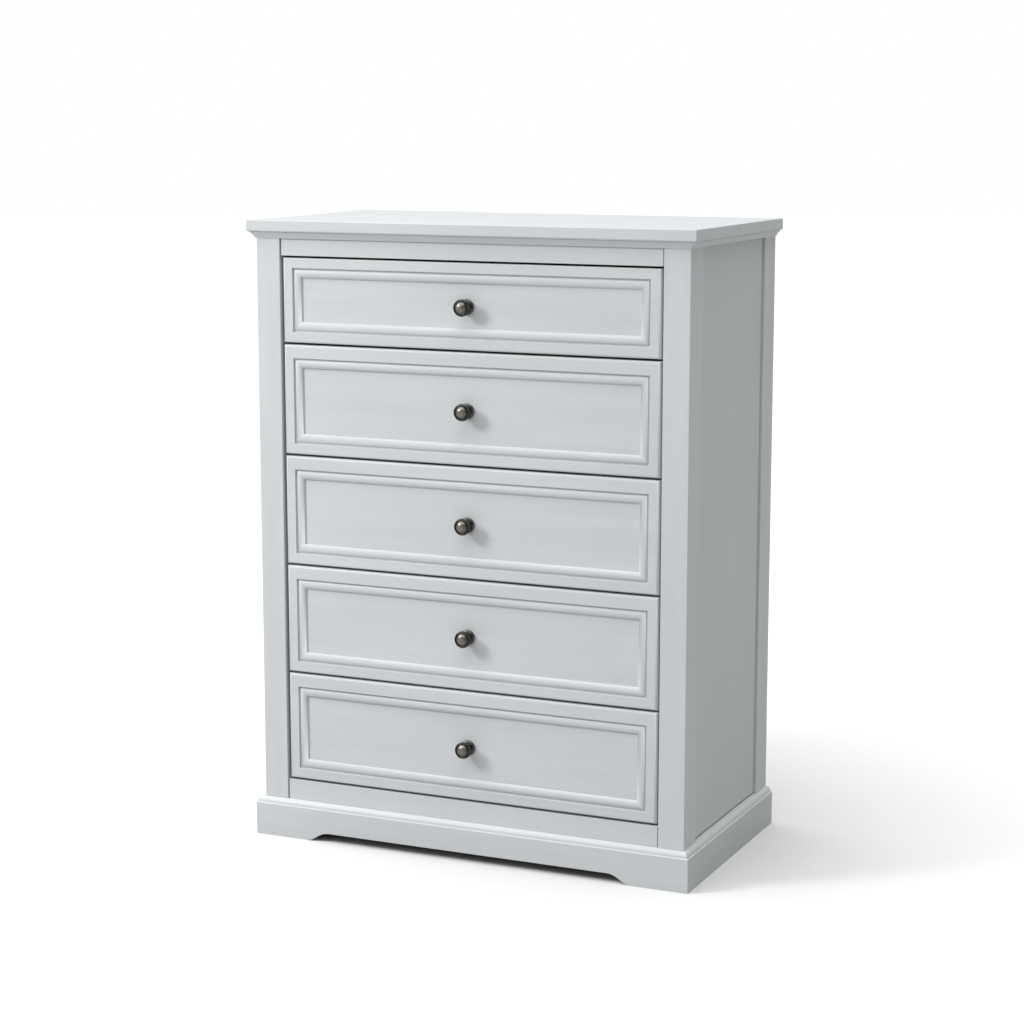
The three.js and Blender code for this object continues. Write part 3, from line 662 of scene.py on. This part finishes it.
def build_back_nails():
    low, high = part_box("back_panel")
    columns = evenly(low.x + NAIL_INSET, high.x - NAIL_INSET, NAIL_PITCH)
    rows = evenly(low.z + NAIL_END_INSET, high.z - NAIL_END_INSET, NAIL_PITCH)
    spots = [(x, z) for x in columns for z in (rows[0], rows[-1])]
    spots += [(x, z) for x in (columns[0], columns[-1]) for z in rows[1:-1]]
    out_of_back = Matrix.Rotation(math.radians(-90), 4, "X")
    mesh = bmesh.new()
    for x, z in spots:
        place = Matrix.Translation((x, high.y - NAIL_HEAD_HEIGHT, z)) @ out_of_back
        stamp(mesh, NAIL_HEAD, place, HEAD_STEPS)
    piece = add_object("back_panel_nails", mesh, [STEEL])
    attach(piece, "carcass")


GLUE_BLOCK_LEG = 42 * MM
GLUE_BLOCK_LEVELS = (4 * MM, 62 * MM)
GLUE_BLOCK_GAP = 0.2 * MM
GLUE_BLOCK_ARRIS = 1.2 * MM


def build_glue_blocks():
    """Three-cornered blocks that hold the plinth's corners together from inside."""
    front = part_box("plinth_front")[1].y + GLUE_BLOCK_GAP
    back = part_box("plinth_rear")[0].y - GLUE_BLOCK_GAP
    low, high = GLUE_BLOCK_LEVELS
    mesh = bmesh.new()
    for hand, side in SIDES.items():
        plinth_low, plinth_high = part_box(f"plinth_{hand}")
        wall = (plinth_low.x if side > 0 else plinth_high.x) - side * GLUE_BLOCK_GAP
        for y, inwards in ((front, 1), (back, -1)):
            corners = [
                (wall, y),
                (wall - side * GLUE_BLOCK_LEG, y),
                (wall, y + inwards * GLUE_BLOCK_LEG),
            ]
            foot = [mesh.verts.new((*corner, low)) for corner in corners]
            head = [mesh.verts.new((*corner, high)) for corner in corners]
            mesh.faces.new(foot)
            mesh.faces.new(head)
            for index in range(len(corners)):
                after = (index + 1) % len(corners)
                mesh.faces.new((foot[index], foot[after], head[after], head[index]))
    bmesh.ops.recalc_face_normals(mesh, faces=mesh.faces)
    ease_arrises(mesh, GLUE_BLOCK_ARRIS)
    piece = add_object("plinth_glue_blocks", mesh, [PINE["X"]])
    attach(piece, "carcass")


# ---------------------------------------------------------------------------------------------------------
# Studio
# ---------------------------------------------------------------------------------------------------------

# The visible floor glows from GLOW_NEAR outwards, fully at GLOW_FAR.
FLOOR_SIZE = 60
FLOOR_CELLS = 8
FLOOR_ALBEDO = 0.72
FLOOR_SPECK = 0.01
FLOOR_ROUGHNESS = 0.9
FLOOR_GLOW = 0.24
GLOW_NEAR = 0.5
GLOW_FAR = 1.7
BOUNCE_LEVEL = -1 * MM
BOUNCE_ALBEDO = 0.41
BOUNCE_ROUGHNESS = 0.95
DOME_RADIUS = 28
DOME_SUBDIVISIONS = 4
WHITE = (1, 1, 1, 1)
WORLD_LIGHT = 0.26

LAMP_TARGET = (0, -0.2, 0.62)
KEY_PLACE = (-2.75, -2.55, 2.75)
KEY_SIZE = 1.3
KEY_POWER = 102
FILL_PLACE = (3.6, 1.3, 1.9)
FILL_SIZE = 2.4
FILL_POWER = 8
OVERHEAD_STRENGTH = 3.3
OVERHEAD_ANGLE = math.radians(80)
OVERHEAD_DIRECTION = (0.12, 0.1, -1)

CAMERA_PLACE = (1.886, -4.176, 1.413)
CAMERA_AZIMUTH = math.radians(24.383)
CAMERA_PITCH = math.radians(9.623)
CAMERA_LENS = 84.32
CAMERA_REACH = 100


def floor_material():
    """Matt white paper that glows as painted light away from the object, so that it stays white there."""
    shader = Shader("studio_paper")
    speck = shader.noise(shader.position(), 60, 3, 0.5)
    shade = shader.span(speck, 0.2, 0.8, FLOOR_ALBEDO - FLOOR_SPECK, FLOOR_ALBEDO + FLOOR_SPECK)
    shader.set(Base_Color=shader.scaled((1.0, 1.0, 1.0), shade), Roughness=FLOOR_ROUGHNESS)
    distance = shader.add("VectorMath", {0: shader.position()}, "Value", operation="LENGTH")
    glow = shader.span(distance, GLOW_NEAR, GLOW_FAR, 0, FLOOR_GLOW)
    shader.set(Emission_Color=WHITE, Emission_Strength=glow)
    return shader.material


def bounce_material():
    """A duller floor, which sets how much light comes back up to the object."""
    shader = Shader("studio_bounce")
    shader.set(Base_Color=(BOUNCE_ALBEDO, BOUNCE_ALBEDO, BOUNCE_ALBEDO, 1), Roughness=BOUNCE_ROUGHNESS)
    return shader.material


def dome_material():
    """Plain white that gives no light of its own to the scene, because only the camera sees the dome."""
    material = bpy.data.materials.new("studio_white")
    material.use_nodes = True
    tree = material.node_tree
    tree.nodes.remove(tree.nodes["Principled BSDF"])
    glow = tree.nodes.new("ShaderNodeEmission")
    tree.links.new(glow.outputs["Emission"], tree.nodes["Material Output"].inputs["Surface"])
    return material


def hide_from_light(piece):
    """Leaves a studio piece to the camera alone."""
    piece.visible_diffuse = False
    piece.visible_glossy = False
    piece.visible_transmission = False
    piece.visible_volume_scatter = False
    piece.visible_shadow = False


def add_floor(name, level, material):
    mesh = bmesh.new()
    bmesh.ops.create_grid(mesh, x_segments=FLOOR_CELLS, y_segments=FLOOR_CELLS, size=FLOOR_SIZE / 2)
    bmesh.ops.translate(mesh, verts=mesh.verts, vec=(0, 0, level))
    return add_object(name, mesh, [material])


def build_stage():
    floor = add_floor("studio_floor", 0, floor_material())
    hide_from_light(floor)
    bounce = add_floor("studio_bounce", BOUNCE_LEVEL, bounce_material())
    bounce.visible_camera = False
    mesh = bmesh.new()
    bmesh.ops.create_icosphere(mesh, subdivisions=DOME_SUBDIVISIONS, radius=DOME_RADIUS)
    bmesh.ops.reverse_faces(mesh, faces=mesh.faces)
    dome = add_object("studio_dome", mesh, [dome_material()])
    hide_from_light(dome)


def aim(thing, direction):
    """Turns a light or the camera to look along direction."""
    thing.rotation_euler = Vector(direction).to_track_quat("-Z", "Y").to_euler()


def build_world():
    world = bpy.data.worlds.new("studio_air")
    world.use_nodes = True
    background = world.node_tree.nodes["Background"]
    background.inputs["Color"].default_value = WHITE
    background.inputs["Strength"].default_value = WORLD_LIGHT
    bpy.context.scene.world = world


def add_softbox(name, place, size, power):
    """A round lamp that faces the object."""
    lamp = bpy.data.lights.new(name, "AREA")
    lamp.shape = "DISK"
    lamp.size = size
    lamp.energy = power
    softbox = bpy.data.objects.new(name, lamp)
    softbox.location = place
    aim(softbox, Vector(LAMP_TARGET) - Vector(place))
    bpy.context.scene.collection.objects.link(softbox)


def build_lights():
    add_softbox("key_softbox", KEY_PLACE, KEY_SIZE, KEY_POWER)
    add_softbox("side_fill", FILL_PLACE, FILL_SIZE, FILL_POWER)
    overhead = bpy.data.lights.new("overhead_bank", "SUN")
    overhead.energy = OVERHEAD_STRENGTH
    overhead.angle = OVERHEAD_ANGLE
    bank = bpy.data.objects.new("overhead_bank", overhead)
    aim(bank, OVERHEAD_DIRECTION)
    bpy.context.scene.collection.objects.link(bank)


def build_camera():
    camera = bpy.data.objects.new("camera", bpy.data.cameras.new("camera"))
    camera.data.lens = CAMERA_LENS
    camera.data.clip_end = CAMERA_REACH
    camera.location = CAMERA_PLACE
    level = math.cos(CAMERA_PITCH)
    ahead = (-math.sin(CAMERA_AZIMUTH) * level, math.cos(CAMERA_AZIMUTH) * level, -math.sin(CAMERA_PITCH))
    aim(camera, ahead)
    bpy.context.scene.collection.objects.link(camera)
    bpy.context.scene.camera = camera


build_carcass()
for number in DRAWERS:
    build_drawer(number)
build_runner_screws()
build_back_nails()
build_glue_blocks()
build_stage()
build_world()
build_lights()
build_camera()
bpy.context.scene.view_settings.view_transform = "Standard"
